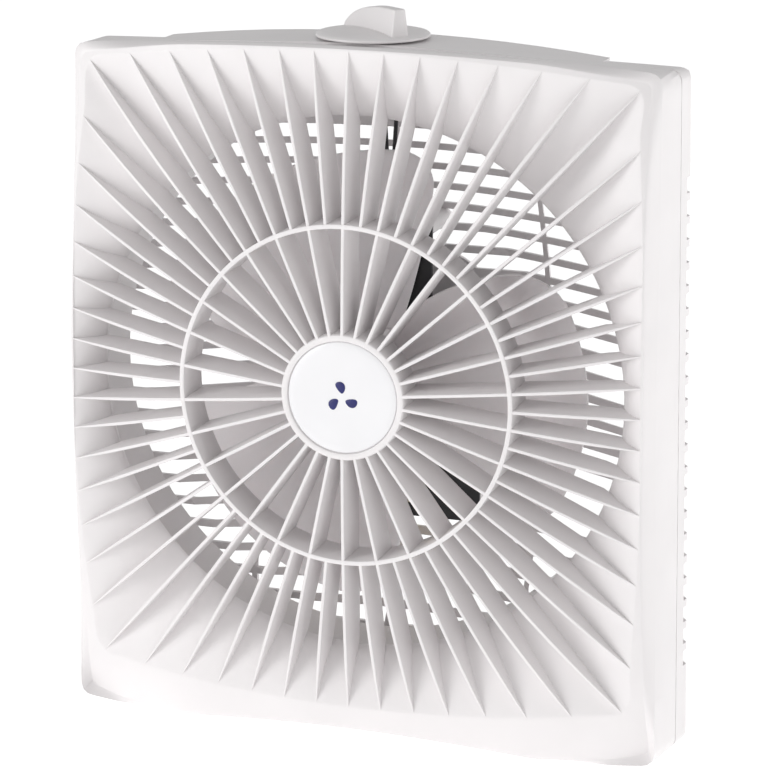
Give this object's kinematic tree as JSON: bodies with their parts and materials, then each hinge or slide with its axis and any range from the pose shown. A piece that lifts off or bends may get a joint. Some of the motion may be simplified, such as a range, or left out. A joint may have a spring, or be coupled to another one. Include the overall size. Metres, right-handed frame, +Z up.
{
  "type": "box fan",
  "caption": "Small personal box fan: square white casing with a domed sunburst guard, paddle-blade rotor on a shaded-pole motor, slotted rear guard and a rotary speed knob.",
  "frame": {"origin": "on the floor under the middle of the fan: the lowest point of the feet, midway between left and right and between the guard and the back", "axes": "+Z up, +X to the right of someone facing the guard, +Y from the guard to the back; air leaves towards -Y"},
  "size_m": [0.2702, 0.096, 0.311],
  "materials": {
    "casing": "satin white moulded plastic",
    "badge": "glossy white plastic",
    "blades": "satin pale grey translucent plastic",
    "knob": "satin white moulded plastic",
    "black_steel": "satin black paint",
    "zinc_screw": "zinc plated",
    "bright_steel": "ground steel",
    "lamination_steel": "stacked electrical steel, lacquered",
    "zinc_alloy": "die-cast alloy",
    "bronze": "sintered bronze",
    "felt": "oil-soaked felt",
    "aluminium_cage": "cast",
    "copper": "bare copper",
    "bobbin_nylon": "natural nylon",
    "tape": "polyester tape",
    "fuse_case": "lacquered",
    "switch_phenolic": "dark phenolic",
    "brass": "stamped",
    "wire_black": "insulated wire",
    "rubber": "pale grey rubber"
  },
  "bodies": {
    "housing": {"front_shell": "casing", "rear_shell": "casing", "hub_badge": "badge", "motor_bracket": "black_steel", "bracket_screws": "zinc_screw", "shell_screws": "zinc_screw", "foot_pads": "rubber", "front_bearing_frame": "zinc_alloy", "rear_bearing_frame": "zinc_alloy", "front_bearing": "bronze", "rear_bearing": "bronze", "front_oil_felt": "felt", "rear_oil_felt": "felt", "stator_stack": "lamination_steel", "shading_rings": "copper", "coil_bobbin": "bobbin_nylon", "coil_winding": "copper", "winding_tape": "tape", "thermal_fuse": "fuse_case", "motor_bolts": "zinc_screw", "motor_nuts": "zinc_screw", "switch_body": "switch_phenolic", "switch_bush": "brass", "switch_washer": "zinc_screw", "switch_nut": "zinc_screw", "switch_terminals": "brass", "motor_leads": "wire_black"},
    "rotor": {"fan_blades": "blades", "motor_shaft": "bright_steel", "blade_nut": "casing", "rotor_core": "lamination_steel", "cage_rings": "aluminium_cage", "thrust_washers": "bobbin_nylon", "shaft_clips": "bright_steel"},
    "knob": {"speed_knob": "knob", "switch_shaft": "bright_steel"}
  },
  "joints": [
    {"name": "rotor_spin", "type": "hinge", "parent": "housing", "child": "rotor", "pos_m": [0, 0, 0.155], "axis": [0, 1, 0], "continuous": true},
    {"name": "knob_turn", "type": "hinge", "parent": "housing", "child": "knob", "pos_m": [0, -0.009, 0.2974], "axis": [0, 0, 1], "range_deg": [-90, 0]}
  ]
}
